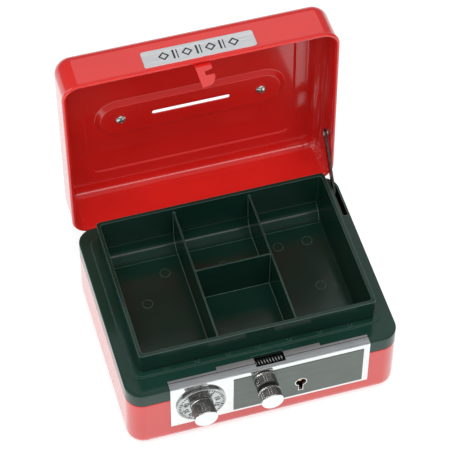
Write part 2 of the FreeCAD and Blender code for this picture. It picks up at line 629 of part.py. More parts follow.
def key_bolt():
    body = block((13.8, 29.0), (-54.8, -53.8), (16.8, 34.6))
    finger = block((21.0, 23.6), (BOLT_Y[0], -53.8), (33.0, 36.4))
    bolt = body.fuse(finger)
    bolt = bolt.cut(block((16.2, 24.2), (-60, -50), (21.5, 32.5)))
    for z in (22.5, 30.5):
        bolt = bolt.cut(block((25.5, 27.9), (-60, -50), (z - KEY_TRAVEL - 1.25, z + 1.25)))
    return bolt.removeSplitter()


def key_bolt_studs():
    studs = []
    for z in (22.5, 30.5):
        collar = rod_y(26.7, z, 1.9, -53.7, CASE_BACK[0])
        pin = rod_y(26.7, z, 1.1, -55.2, CASE_BACK[1])
        studs.append(collar.fuse(pin).removeSplitter())
    return Part.makeCompound(studs)


def key_lever(index):
    y0 = -53.2 + index * 1.2
    outline = [(29.8, 18.8), (33.2, 18.8), (33.2, 35.0), (15.0, 35.0), (15.0, 31.6), (29.8, 31.6)]
    lever = plate_xz(outline, y0, y0 + 0.8)
    for z in (22.5, 30.5):
        lever = lever.cut(rod_y(26.7, z, 3.4, -60, -40))
    return lever.cut(rod_y(LEVER_X, LEVER_Z, 1.35, -60, -40))


def lever_pivot():
    pin = rod_y(LEVER_X, LEVER_Z, 1.3, -53.9, CASE_BACK[1])
    return pin.fuse(rod_y(LEVER_X, LEVER_Z, 2.2, -50.9, CASE_BACK[0])).removeSplitter()


def drill_pin():
    return rod_y(KEY_X, KEY_Z, 1.1, FRONT + 0.5, CASE_BACK[1])


def lock_case():
    back = block((-48.9, 52.8), CASE_BACK, (15.0, 44.8))
    parts = [back]
    for wall, ear in (((-48.9, -48.1), (-53.2, -48.1)), ((52.0, 52.8), (52.0, 57.5))):
        parts.append(block(wall, (-57.9, CASE_BACK[1]), (15.0, 37.5)))
        parts.append(block(ear, (-57.9, -57.1), (15.0, 37.5)))
    parts.append(block((-7.0, -6.2), (-55.0, CASE_BACK[1]), (41.2, 44.8)))
    case = join(parts)
    for x, z in STUDS:
        case = case.cut(rod_y(x, z, 1.35, -60, -55))
    case = case.cut(rod_y(DIAL_X, DIAL_Z, SPINDLE_R + RUN, -50, -40))
    case = case.cut(rod_y(FENCE_X, FENCE_Z, 1.3, -50, -40))
    case = case.cut(rod_y(LEVER_X, LEVER_Z, 1.3, -50, -40))
    case = case.cut(rod_y(KEY_X, KEY_Z, 1.1, -50, -40))
    for x in BOLT_GUIDE_X:
        case = case.cut(rod_y(x, BOLT_GUIDE_Z, 1.15, -50, -40))
    for z in (22.5, 30.5):
        case = case.cut(rod_y(26.7, z, 1.1, -50, -40))
    return case


def lock_nuts():
    nuts = []
    for x, z in STUDS:
        points = [(x + 2.6 * math.sin(math.radians(60 * i)), z + 2.6 * math.cos(math.radians(60 * i)))
                  for i in range(6)]
        nut = plate_xz(points, -57.1, -55.3)
        nuts.append(nut.cut(rod_y(x, z, 1.25, -60, -50)))
    return Part.makeCompound(nuts)


NODES = {
    "base_shell": base_shell,
    "frame_screws": frame_screws,
    "top_frame": top_frame,
    "coin_tray": coin_tray,
    "lid_shell": lid_shell,
    "lid_tongue": lid_tongue,
    "lid_label": lid_label,
    "hinge_leaf_left": lambda: hinge_leaf(-1),
    "hinge_leaf_right": lambda: hinge_leaf(1),
    "hinge_pin_left": lambda: hinge_pin(-1),
    "hinge_pin_right": lambda: hinge_pin(1),
    "handle_post_left": lambda: handle_post(-1),
    "handle_post_right": lambda: handle_post(1),
    "handle_screws": handle_screws,
    "handle_bail": handle_bail,
    "stay_arm": stay_arm,
    "stay_rivet": stay_rivet,
    "lock_plate": lock_plate,
    "lock_faceplate": lock_faceplate,
    "dial_disc": dial_disc,
    "dial_knob": dial_knob,
    "dial_spindle": dial_spindle,
    "drive_wheel": lambda: wheel(0),
    "middle_wheel": lambda: wheel(1),
    "rear_wheel": lambda: wheel(2),
    "spacer_washers": spacer_washers,
    "fence_lever": fence_lever,
    "fence_pivot": fence_pivot,
    "knob_bushing": knob_bushing,
    "release_knob": release_knob,
    "release_spindle": release_spindle,
    "latch_bolt": latch_bolt,
    "bolt_guide_studs": bolt_guide_studs,
    "latch_spring": latch_spring,
    "key_bolt": key_bolt,
    "key_bolt_studs": key_bolt_studs,
    "key_lever_front": lambda: key_lever(0),
    "key_lever_rear": lambda: key_lever(1),
    "lever_pivot": lever_pivot,
    "drill_pin": drill_pin,
    "lock_case": lock_case,
    "lock_nuts": lock_nuts,
}


def main():
    os.makedirs("parts", exist_ok=True)
    for name, build in NODES.items():
        shape = build()
        solids = len(shape.Solids)
        valid = shape.isValid()
        shape.exportStep(os.path.join("parts", name + ".step"))
        print(f"{name}: {solids} solid(s), {shape.Volume:.1f} mm3, valid {valid}")


main()
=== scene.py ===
import json
import math

import bmesh
import bpy
from mathutils import Matrix, Vector


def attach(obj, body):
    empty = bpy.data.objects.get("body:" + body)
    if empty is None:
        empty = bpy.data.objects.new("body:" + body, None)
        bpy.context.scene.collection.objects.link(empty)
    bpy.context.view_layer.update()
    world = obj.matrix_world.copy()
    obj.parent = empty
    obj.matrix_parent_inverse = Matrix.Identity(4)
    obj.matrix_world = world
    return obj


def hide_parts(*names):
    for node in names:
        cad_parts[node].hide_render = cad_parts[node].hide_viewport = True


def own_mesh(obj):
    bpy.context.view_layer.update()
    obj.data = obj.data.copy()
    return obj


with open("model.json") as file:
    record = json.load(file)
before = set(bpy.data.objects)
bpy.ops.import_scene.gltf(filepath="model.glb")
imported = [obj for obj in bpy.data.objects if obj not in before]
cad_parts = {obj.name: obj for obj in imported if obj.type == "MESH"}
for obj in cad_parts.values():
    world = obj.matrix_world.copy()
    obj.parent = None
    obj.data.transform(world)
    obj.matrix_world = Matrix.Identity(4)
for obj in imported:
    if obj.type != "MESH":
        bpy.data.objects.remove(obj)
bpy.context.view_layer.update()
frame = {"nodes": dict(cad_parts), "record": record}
NODES = frame["nodes"]
BODY = {n: b for b, ns in frame["record"]["behaviour"]["bodies"].items() for n in ns}
SLOT = {s["node"]: s["material_slot"] for s in frame["record"]["subparts"]}

# ------------------------------------------------------------------ main sizes, millimetres
# Shapes are drawn in the CAD frame: x to the right, y to the back, z up, and the origin on the ground under
# the middle of the base. The lid is drawn closed and then turned open. piece() makes millimetres metres.
MM = 0.001
WIDTH, DEPTH, CORNER_R = 152.0, 117.5, 9.5
SHEET = 0.8
FRONT, BACK = -DEPTH / 2, DEPTH / 2
BASE_TOP = 37.8
BAND_Z, DECK_Z, STEP_Z = 38.2, 47.5, 48.7
PLATE_FRONT = FRONT - 0.8
INLAY_FRONT = PLATE_FRONT - 0.3
DIAL_FRONT = PLATE_FRONT - 1.8
DIAL = (-36.5, 31.0)
KNOB = (-1.2, 40.0)
KEYHOLE = (19.8, 27.5)
SCREW_POSTS = [(-62.0, -47.8), (62.0, -47.8), (-62.0, 51.5), (62.0, 51.5)]
WELL_Y = 2.25
RECESS_Y = 1.4
TRAY_FLOOR, TRAY_TOP = 35.5, 63.7
DIVIDER_X, CROSS_Y = 21.8, 4.4
HINGE = Vector((0.0, 57.0, 44.9))
OPEN = Matrix.Translation(HINGE) @ Matrix.Rotation(math.radians(-91.5), 4, "X") @ Matrix.Translation(-HINGE)

# ------------------------------------------------------------------ camera
LENS = 175.02
DISTANCE = 1.243936
LOOKED_AT = Vector((0.008774, 0.050036, 0.0348))
camera = bpy.data.objects.new("camera", bpy.data.cameras.new("camera"))
bpy.context.scene.collection.objects.link(camera)
bpy.context.scene.camera = camera
camera.data.sensor_width = 36.0
camera.data.lens = LENS
camera.data.clip_start = 0.05
camera.data.clip_end = 20.0
right = Vector((0.96021, -0.27925, 0.00382))
up = Vector((0.21726, 0.75551, 0.61806))
back = Vector((-0.17547, -0.59264, 0.78612))
turned = Matrix((right, up, back)).transposed().to_4x4()
camera.matrix_world = Matrix.Translation(LOOKED_AT + back * DISTANCE) @ turned


# ------------------------------------------------------------------ shader helpers
def new_mat(name):
    m = bpy.data.materials.new(name)
    m.use_nodes = True
    m.node_tree.nodes.clear()
    out = m.node_tree.nodes.new("ShaderNodeOutputMaterial")
    bsdf = m.node_tree.nodes.new("ShaderNodeBsdfPrincipled")
    m.node_tree.links.new(bsdf.outputs[0], out.inputs[0])
    return m, m.node_tree, bsdf


def coords(nt, scale=(1, 1, 1), rot=(0, 0, 0)):
    """Object coordinates in metres, stretched where scale is small."""
    tc = nt.nodes.new("ShaderNodeTexCoord")
    mp = nt.nodes.new("ShaderNodeMapping")
    mp.inputs["Scale"].default_value = scale
    mp.inputs["Rotation"].default_value = rot
    nt.links.new(tc.outputs["Object"], mp.inputs["Vector"])
    return mp.outputs["Vector"]


def noise(nt, vec, scale, detail=3.0, rough=0.5):
    n = nt.nodes.new("ShaderNodeTexNoise")
    n.inputs["Scale"].default_value = scale
    n.inputs["Detail"].default_value = detail
    n.inputs["Roughness"].default_value = rough
    nt.links.new(vec, n.inputs["Vector"])
    return n.outputs["Fac"]


def span(nt, fac, lo, hi, a=0.0, b=1.0):
    """Remaps fac from lo..hi to a..b."""
    n = nt.nodes.new("ShaderNodeMapRange")
    for k, v in (("From Min", lo), ("From Max", hi), ("To Min", a), ("To Max", b)):
        n.inputs[k].default_value = v
    nt.links.new(fac, n.inputs["Value"])
    return n.outputs["Result"]


def ramp(nt, fac, stops):
    """A colour for each (place, colour) stop, blended between."""
    n = nt.nodes.new("ShaderNodeValToRGB")
    while len(n.color_ramp.elements) < len(stops):
        n.color_ramp.elements.new(0.5)
    for e, (p, c) in zip(n.color_ramp.elements, stops):
        e.position = p
        e.color = (*c, 1.0)
    nt.links.new(fac, n.inputs["Fac"])
    return n.outputs["Color"]


def fill(nt, pairs):
    """Links an output to its socket, or sets a plain value or colour on it."""
    for sock, v in pairs:
        if hasattr(v, "is_output"):
            nt.links.new(v, sock)
        else:
            sock.default_value = (*v, 1.0) if isinstance(v, tuple) else v


def mix(nt, fac, a, b):
    n = nt.nodes.new("ShaderNodeMix")
    n.data_type = "RGBA"
    n.blend_type = "MIX"
    fill(nt, ((n.inputs[0], fac), (n.inputs[6], a), (n.inputs[7], b)))
    return n.outputs[2]


def math_node(nt, op, a, b):
    n = nt.nodes.new("ShaderNodeMath")
    n.operation = op
    fill(nt, zip(n.inputs, (a, b)))
    return n.outputs[0]


def bump(nt, bsdf, height, strength, dist, after=None):
    """Adds relief to a shader's normal, on top of an earlier bump when after is given."""
    n = nt.nodes.new("ShaderNodeBump")
    n.inputs["Strength"].default_value = strength
    n.inputs["Distance"].default_value = dist
    nt.links.new(height, n.inputs["Height"])
    if after is not None:
        nt.links.new(after, n.inputs["Normal"])
    nt.links.new(n.outputs["Normal"], bsdf.inputs["Normal"])
    return n.outputs["Normal"]


def edge_mask(nt, radius):
    """About 1 on a corner and 0 on the flat."""
    bv = nt.nodes.new("ShaderNodeBevel")
    bv.samples = 4
    bv.inputs["Radius"].default_value = radius
    geo = nt.nodes.new("ShaderNodeNewGeometry")
    dot = nt.nodes.new("ShaderNodeVectorMath")
    dot.operation = "DOT_PRODUCT"
    nt.links.new(bv.outputs["Normal"], dot.inputs[0])
    nt.links.new(geo.outputs["Normal"], dot.inputs[1])
    return span(nt, dot.outputs["Value"], 0.995, 0.82)


# ------------------------------------------------------------------ materials
def red_paint(name, coat_rough=0.10, draw_marks=0.0):
    """Glossy enamel, with a painted highlight in paler patches on its edges. draw_marks is the depth of the
    upright streaks of a drawn wall, which also get a painted highlight.
    """
    m, nt, b = new_mat(name)
    v = coords(nt)
    reds = [(0.3, (0.570, 0.0105, 0.0080)), (0.7, (0.640, 0.0140, 0.0100))]
    base = ramp(nt, noise(nt, v, 22.0, 2.0), reds)
    fleck = span(nt, noise(nt, v, 2600.0, 1.0), 0.55, 0.8, 0.0, 0.12)
    base = mix(nt, fleck, base, (0.40, 0.004, 0.005))
    # painted highlight: paler red in patches along the edges, through the edge mask
    edge_highlight_patches = span(nt, noise(nt, v, 300.0, 3.0, 0.6), 0.45, 0.75, 0.0, 0.30)
    base = mix(nt, math_node(nt, "MULTIPLY", edge_mask(nt, 0.0007), edge_highlight_patches), base, (0.66, 0.030, 0.028))
    nt.links.new(base, b.inputs["Base Color"])
    smear = noise(nt, coords(nt, (1, 3, 0.6), (0.3, 0.2, 0.9)), 60.0, 5.0, 0.65)
    nt.links.new(span(nt, smear, 0.35, 0.75, 0.30, 0.42), b.inputs["Roughness"])
    b.inputs["Specular IOR Level"].default_value = 0.15
    b.inputs["Coat Weight"].default_value = 1.0
    b.inputs["Coat Roughness"].default_value = coat_rough
    b.inputs["Coat IOR"].default_value = 1.62
    normal = bump(nt, b, noise(nt, v, 260.0, 1.0), 0.018, 0.0006)
    if draw_marks:
        fine = noise(nt, coords(nt, (1.0, 1.0, 0.020)), 1100.0, 3.0, 0.6)
        where = span(nt, noise(nt, coords(nt, (1.0, 1.0, 0.35)), 60.0, 2.0), 0.42, 0.60, 0.0, 0.85)
        # painted highlight: pale pink along the drawn streaks stands for their reflections
        streak_highlight = math_node(nt, "MULTIPLY", span(nt, fine, 0.55, 0.66), where)
        nt.links.new(mix(nt, streak_highlight, base, (0.80, 0.34, 0.33)), b.inputs["Base Color"])
        broad = noise(nt, coords(nt, (1.0, 1.0, 0.035)), 260.0, 2.0, 0.5)
        both = math_node(nt, "ADD", math_node(nt, "MULTIPLY", fine, 0.35), broad)
        normal = bump(nt, b, both, draw_marks, 0.0012, normal)
    nt.links.new(normal, b.inputs["Coat Normal"])
    return m


def dark_plastic(name, shade=1.0):
    """Green-black moulded plastic with fine grain, dust, scuffs and a painted highlight along its edges."""
    m, nt, b = new_mat(name)
    v = coords(nt)
    low, high = (tuple(c * shade for c in t) for t in ((0.0042, 0.0190, 0.0132), (0.0060, 0.0250, 0.0178)))
    base = ramp(nt, noise(nt, v, 35.0, 3.0), [(0.3, low), (0.7, high)])
    # painted highlight: pale grey-green along every edge, through the edge mask
    base = mix(nt, math_node(nt, "MULTIPLY", edge_mask(nt, 0.0005), 0.85), base, (0.14, 0.21, 0.185))
    dust = span(nt, noise(nt, v, 1500.0, 3.0, 0.8), 0.68, 0.82, 0.0, 0.12)
    nt.links.new(mix(nt, dust, base, (0.05, 0.08, 0.065)), b.inputs["Base Color"])
    scuff = noise(nt, v, 90.0, 6.0, 0.7)
    nt.links.new(span(nt, scuff, 0.35, 0.75, 0.13, 0.22), b.inputs["Roughness"])
    b.inputs["Specular IOR Level"].default_value = 0.34
    grain = bump(nt, b, noise(nt, v, 2400.0, 2.0), 0.10, 0.0001)
    bump(nt, b, noise(nt, v, 60.0, 1.0), 0.10, 0.0010, grain)
    return m


def metal(name, tint, rough, grain, dirt, strength):
    """Bare or plated metal. grain scales its fine lines along x, y and z, and a small one stretches them."""
    m, nt, b = new_mat(name)
    line = noise(nt, coords(nt, grain), 900.0, 4.0, 0.6)
    cloud = span(nt, noise(nt, coords(nt), 180.0, 5.0, 0.65), 0.35, 0.75)
    nt.links.new(mix(nt, cloud, tint, tuple(c * (1 - dirt) for c in tint)), b.inputs["Base Color"])
    b.inputs["Metallic"].default_value = 1.0
    nt.links.new(span(nt, line, 0.3, 0.7, rough * 0.7, rough * 1.45), b.inputs["Roughness"])
    bump(nt, b, line, strength, 0.0001)
    return m


def grey_inlay(name):
    """Grey-green sheet, brushed along x."""
    m, nt, b = new_mat(name)
    greys = [(0.3, (0.105, 0.120, 0.107)), (0.7, (0.122, 0.137, 0.124))]
    nt.links.new(ramp(nt, noise(nt, coords(nt, (0.25, 1, 1)), 300.0, 4.0), greys), b.inputs["Base Color"])
    b.inputs["Metallic"].default_value = 0.35
    nt.links.new(span(nt, noise(nt, coords(nt), 90.0, 4.0), 0.3, 0.7, 0.30, 0.42), b.inputs["Roughness"])
    bump(nt, b, noise(nt, coords(nt, (0.05, 1, 1)), 2500.0, 2.0), 0.08, 0.0001)
    return m


def plain_plastic(name, colour, rough):
    """Black plastic or ink: one colour with pale specks and a fine grain."""
    m, nt, b = new_mat(name)
    v = coords(nt)
    pale = tuple(min(1.0, c * 1.5 + 0.004) for c in colour)
    nt.links.new(mix(nt, span(nt, noise(nt, v, 240.0, 4.0), 0.4, 0.8), colour, pale), b.inputs["Base Color"])
    worn = noise(nt, v, 500.0, 3.0)
    nt.links.new(span(nt, worn, 0.3, 0.7, rough * 0.8, rough * 1.3), b.inputs["Roughness"])
    bump(nt, b, noise(nt, v, 3000.0, 2.0), 0.25, 0.0001)
    return m


def lip_steel(name):
    """Brushed top of the lock plate, painted with light and shade: a grey strip at the bend as a painted
    reflection, a dark line behind it as painted shade, then a paler tab as painted highlight.
    """
    m, nt, b = new_mat(name)
    tc = nt.nodes.new("ShaderNodeTexCoord")
    xyz = nt.nodes.new("ShaderNodeSeparateXYZ")
    nt.links.new(tc.outputs["Object"], xyz.inputs[0])
    y = xyz.outputs["Y"]
    line = noise(nt, coords(nt, (0.06, 1, 1)), 1500.0, 4.0, 0.6)
    # painted reflection: darker grey for the strip along the bend
    strip = mix(nt, span(nt, line, 0.35, 0.65), (0.36, 0.375, 0.39), (0.58, 0.60, 0.61))
    pale = mix(nt, span(nt, line, 0.3, 0.7), (0.56, 0.535, 0.54), (0.64, 0.615, 0.615))
    base = mix(nt, span(nt, y, -0.0550, -0.0548), strip, pale)
    # painted shade: a dark line between the strip and the tab
    fold_shade_line = math_node(nt, "MULTIPLY", span(nt, y, -0.05525, -0.0551), span(nt, y, -0.0547, -0.05485))
    nt.links.new(mix(nt, fold_shade_line, base, (0.06, 0.065, 0.07)), b.inputs["Base Color"])
    b.inputs["Metallic"].default_value = 0.85
    nt.links.new(span(nt, line, 0.3, 0.7, 0.26, 0.40), b.inputs["Roughness"])
    bump(nt, b, line, 0.06, 0.0001)
    return m


EVEN, ALONG_X, ALONG_Y = (1, 1, 1), (0.2, 1, 1), (1, 0.3, 1)

# One finish for each material slot of the record.
MATS = {
    "red_paint": red_paint("red_enamel"),
    "dark_plastic": dark_plastic("green_black_plastic"),
    "chrome_plate": metal("bright_chrome", (0.80, 0.79, 0.78), 0.09, EVEN, 0.06, 0.02),
    "silver_label": metal("label_aluminium", (0.93, 0.95, 0.97), 0.38, (0.03, 3, 3), 0.03, 0.04),
    "grey_inlay": grey_inlay("grey_green_inlay"),
    "zinc_steel": metal("zinc_plated_steel", (0.62, 0.63, 0.62), 0.30, ALONG_X, 0.35, 0.10),
    "bright_steel": metal("bright_steel", (0.72, 0.71, 0.68), 0.22, ALONG_Y, 0.30, 0.08),
    "brass_metal": metal("yellow_brass", (0.78, 0.56, 0.24), 0.24, ALONG_Y, 0.30, 0.08),
    "black_plastic": plain_plastic("black_plastic", (0.012, 0.012, 0.012), 0.42),
}

# Finishes of single pieces or faces that differ from their slot's.
# painted light: the tray's plastic made 1.45 times lighter for the frame, so its deck reads lit
LIT_FRAME_PLASTIC = dark_plastic("green_black_frame_painted_lighter", 1.45)
# painted reflection, shade and highlight bands on the lock plate's top
LIP_STEEL = lip_steel("lip_steel")
DARK_STEEL = metal("dark_oiled_steel", (0.16, 0.155, 0.15), 0.28, ALONG_Y, 0.4, 0.1)
LID_RED = red_paint("red_enamel_lid")
# the lid's right inner wall: glossier enamel with painted highlight streaks
LID_SIDE = red_paint("red_enamel_drawn_side", 0.04, 0.62)
INK = plain_plastic("black_ink", (0.010, 0.010, 0.012), 0.45)
# painted shade: near-black for the groove between the collar and the release grip
GROOVE_SHADE = plain_plastic("painted_groove_shade", (0.004, 0.004, 0.004), 0.6)
KNURL = metal("knurled_chrome", (0.72, 0.71, 0.69), 0.10, EVEN, 0.45, 0.05)
DIAL_METAL = metal("dial_metal", (0.56, 0.57, 0.56), 0.16, EVEN, 0.40, 0.08)
# painted shade: near-black metal for the faces deep in the knurl
KNURL_VALLEY_SHADE = metal("knurl_valley_painted_shade", (0.10, 0.10, 0.095), 0.30, EVEN, 0.45, 0.05)
SPRING_STEEL = metal("spring_steel", (0.44, 0.46, 0.45), 0.30, ALONG_Y, 0.3, 0.1)


# ------------------------------------------------------------------ mesh helpers
def piece(name, bm, body, slot, replaces=(), matrix=None, material=None, smooth=32.0, weighted=True,
          second=()):
    """Turns a bmesh in millimetres into a shown piece that rides on a body.

    second lists (material, test of a face) pairs: a face takes the last material whose test it passes.
    """
    bmesh.ops.recalc_face_normals(bm, faces=bm.faces[:])
    for f in bm.faces:
        f.material_index = 0
        for k, (_, test) in enumerate(second):
            if test(f):
                f.material_index = k + 1
    if matrix is not None:
        bm.transform(matrix)
    bm.transform(Matrix.Scale(MM, 4))
    me = bpy.data.meshes.new(name)
    bm.to_mesh(me)
    bm.free()
    for p in me.polygons:
        p.use_smooth = True
    me.set_sharp_from_angle(angle=math.radians(smooth))
    ob = bpy.data.objects.new(name, me)
    bpy.context.scene.collection.objects.link(ob)
    me.materials.append(material or MATS[slot])
    for extra, _ in second:
        me.materials.append(extra)
    if weighted:
        mod = ob.modifiers.new("weighted", "WEIGHTED_NORMAL")
        mod.keep_sharp = True
    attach(ob, body)
    if replaces:
        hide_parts(*replaces)
    return ob


def round_rect(w, d, r, z, cy=0.0, seg=9, side=6):
    """Points of a rounded rectangle in a level plane, the same number whatever its size."""
    corners = []
    for sx, sy, a0 in ((1, 1, 0), (-1, 1, 90), (-1, -1, 180), (1, -1, 270)):
        ox, oy = sx * (w / 2 - r), cy + sy * (d / 2 - r)
        turn = [math.radians(a0 + 90.0 * i / seg) for i in range(seg + 1)]
        corners.append([Vector((ox + r * math.cos(t), oy + r * math.sin(t), z)) for t in turn])
    points = []
    for here, after in zip(corners, corners[1:] + corners[:1]):
        points += here
        points += [here[-1].lerp(after[0], i / side) for i in range(1, side)]
    return points


def arc(cx, cz, r, a0, a1, n):
    """Points (inset, height) on a circle, angles in degrees."""
    turn = [math.radians(a0 + (a1 - a0) * i / n) for i in range(n + 1)]
    return [(cx + r * math.cos(t), cz + r * math.sin(t)) for t in turn]


def insets(pairs):
    """The box's outline drawn in by each (inset, height)."""
    return [round_rect(WIDTH - 2 * i, DEPTH - 2 * i, max(CORNER_R - i, 0.4), z) for i, z in pairs]


def loft(rings, closed=False):
    """Joins rings of equal count, and caps the first and last or closes them on each other."""
    bm = bmesh.new()
    rows = [[bm.verts.new(p) for p in ring] for ring in rings]
    n = len(rows[0])
    pairs = list(zip(rows, rows[1:] + rows[:1])) if closed else list(zip(rows, rows[1:]))
    for low, high in pairs:
        for i in range(n):
            j = (i + 1) % n
            bm.faces.new((low[i], low[j], high[j], high[i]))
    if not closed:
        bm.faces.new(rows[0][::-1])
        bm.faces.new(rows[-1])
    bmesh.ops.recalc_face_normals(bm, faces=bm.faces[:])
    return bm


def lathe(profile, centre, axis, seg, ripple=None):
    """Turns a profile of (radius, distance along Y or Z). ripple(angle, index) shortens a radius."""
    rings = []
    for k, (r, t) in enumerate(profile):
        ring = []
        for i in range(seg):
            a = 2 * math.pi * i / seg
            rr = r - (ripple(a, k) if ripple else 0.0)
            u, v = centre[0] + rr * math.cos(a), centre[1] + rr * math.sin(a)
            ring.append(Vector((u, t, v) if axis == "Y" else (u, v, t)))
        rings.append(ring)
    return loft(rings)


def slab(x, y, z, bevel=0.0):
    """A block between pairs of x, y and z, with its edges rounded by bevel."""
    bm = bmesh.new()
    bmesh.ops.create_cube(bm, size=1.0)
    centre = Vector(((x[0] + x[1]) / 2, (y[0] + y[1]) / 2, (z[0] + z[1]) / 2))
    size = (x[1] - x[0], y[1] - y[0], z[1] - z[0])
    bm.transform(Matrix.Translation(centre) @ Matrix.Diagonal((*size, 1.0)))
    if bevel:
        bmesh.ops.bevel(bm, geom=bm.edges[:], offset=bevel, segments=3, profile=0.5, affect="EDGES")
    return bm


def merge(bms):
    """One bmesh from several."""
    out = bmesh.new()
    for b in bms:
        me = bpy.data.meshes.new("part")
        b.to_mesh(me)
        out.from_mesh(me)
        bpy.data.meshes.remove(me)
        b.free()
    return out


def shown_mesh(ob):
    """The object's mesh with its modifiers and text applied."""
    bpy.context.view_layer.update()
    return bpy.data.meshes.new_from_object(ob.evaluated_get(bpy.context.evaluated_depsgraph_get()))


def carve(bm, tools, op="DIFFERENCE"):
    """Cuts or adds closed bmeshes, exactly."""
    me = bpy.data.meshes.new("carved")
    bm.to_mesh(me)
    bm.free()
    ob = bpy.data.objects.new("carved", me)
    bpy.context.scene.collection.objects.link(ob)
    others = []
    for k, t in enumerate(tools):
        bmesh.ops.recalc_face_normals(t, faces=t.faces[:])
        tm = bpy.data.meshes.new("tool")
        t.to_mesh(tm)
        t.free()
        to = bpy.data.objects.new("tool", tm)
        bpy.context.scene.collection.objects.link(to)
        mod = ob.modifiers.new(f"cut{k}", "BOOLEAN")
        mod.operation = op
        mod.solver = "EXACT"
        mod.object = to
        others.append(to)
    done = shown_mesh(ob)
    out = bmesh.new()
    out.from_mesh(done)
    for o in [ob] + others:
        data = o.data
        bpy.data.objects.remove(o)
        bpy.data.meshes.remove(data)
    bpy.data.meshes.remove(done)
    bmesh.ops.remove_doubles(out, verts=out.verts[:], dist=0.0005)
    return out


def from_cad(node, bevel, material=None, second=()):
    """A piece made from a CAD node's own faces, with its edges rounded."""
    bm = bmesh.new()
    bm.from_mesh(NODES[node].data)
    bm.transform(Matrix.Scale(1 / MM, 4))
    bmesh.ops.remove_doubles(bm, verts=bm.verts[:], dist=0.002)
    flat = math.radians(0.6)
    bmesh.ops.dissolve_limit(bm, angle_limit=flat, verts=bm.verts[:], edges=bm.edges[:])
    if bevel:
        edge = math.radians(35.0)
        sharp = [e for e in bm.edges if len(e.link_faces) == 2 and e.calc_face_angle(0.0) > edge]
        bmesh.ops.bevel(bm, geom=sharp, offset=bevel, segments=2, profile=0.5, affect="EDGES",
                        clamp_overlap=True)
    return piece(node + "_finish", bm, BODY[node], SLOT[node], (node,), material=material, second=second)


# ------------------------------------------------------------------ lid pan
def fold(wide, narrow, z0, z1, r0, r1, cy):
    """Rings down one pressed step, from size wide to narrow, bunched where the sheet bends."""
    out = []
    for t, s in ((0.0, 0.0), (0.06, 0.01), (0.14, 0.08), (0.5, 0.5), (0.86, 0.92), (0.94, 0.99), (1.0, 1.0)):
        w = wide[0] + (narrow[0] - wide[0]) * t
        d = wide[1] + (narrow[1] - wide[1]) * t
        out.append(round_rect(w, d, r0 + (r1 - r0) * t, z0 + (z1 - z0) * s, cy))
    return out


def lid_pan():
    """Drawn pan with a rolled rim, a raised field, a sunk recess and the coin slot in it."""
    top, field, recess = (75.8, 76.6), (76.6, 77.4), (74.6, 75.4)
    edge, curl, curl_z = 8.5, 1.25, 49.85
    bend_z = top[1] - edge
    walls = (54.0, 58.0, 63.0)
    rim = insets([(0.0, curl_z + 1.17)] + arc(0.55, curl_z, curl, 120, 420, 15) + [(SHEET, curl_z + 1.45)])
    inside = insets([(SHEET, z) for z in walls] + arc(edge, bend_z, edge - SHEET, 180, 90, 8))
    inside.append(round_rect(128.0, 93.0, 8.8, top[0]))
    inside += fold((122.2, 86.2), (119.6, 83.6), top[0], field[0], 7.9, 7.1, 0.0)
    inside.append(round_rect(113.0, 50.0, 14.0, field[0], 1.1))
    inside += fold((110.0, 27.2), (102.6, 19.8), field[0], recess[0], 13.3, 9.6, RECESS_Y)
    inside.append(round_rect(70.0, 9.0, 4.2, recess[0], RECESS_Y))
    slot = [round_rect(45.3, 3.4, 1.5, recess[0], RECESS_Y), round_rect(44.6, 2.7, 1.2, 74.75, RECESS_Y),
            round_rect(44.6, 2.7, 1.2, 75.25, RECESS_Y), round_rect(45.3, 3.4, 1.5, recess[1], RECESS_Y)]
    outside = [round_rect(70.0, 9.0, 4.2, recess[1], RECESS_Y)]
    outside += fold((102.0, 19.2), (109.2, 26.4), recess[1], field[1], 9.3, 12.9, RECESS_Y)
    outside.append(round_rect(113.0, 50.0, 14.0, field[1], 1.1))
    outside += fold((120.2, 84.2), (122.8, 86.8), field[1], top[1], 7.2, 8.0, 0.0)
    outside.append(round_rect(128.0, 93.0, 8.8, top[1]))
    outside += insets(arc(edge, bend_z, edge, 90, 180, 9) + [(0.0, z) for z in walls[::-1]])
    outside += insets([(0.0, curl_z + 1.55)])
    bm = loft(rim + inside + slot + outside, closed=True)
    hinge_gaps = [slab(sorted((s * 24.2, s * 45.8)), (BACK, BACK + 2), (47.0, 51.7)) for s in (-1, 1)]
    bm = carve(bm, hinge_gaps)

    def drawn_side(f):
        c = f.calc_center_median()
        return f.normal.x < -0.45 and c.x > 60.0 and c.z < 76.0

    piece("lid_pan", bm, "lid", "red_paint", ("lid_shell",), OPEN, LID_RED, smooth=40,
          second=[(LID_SIDE, drawn_side)])


lid_pan()


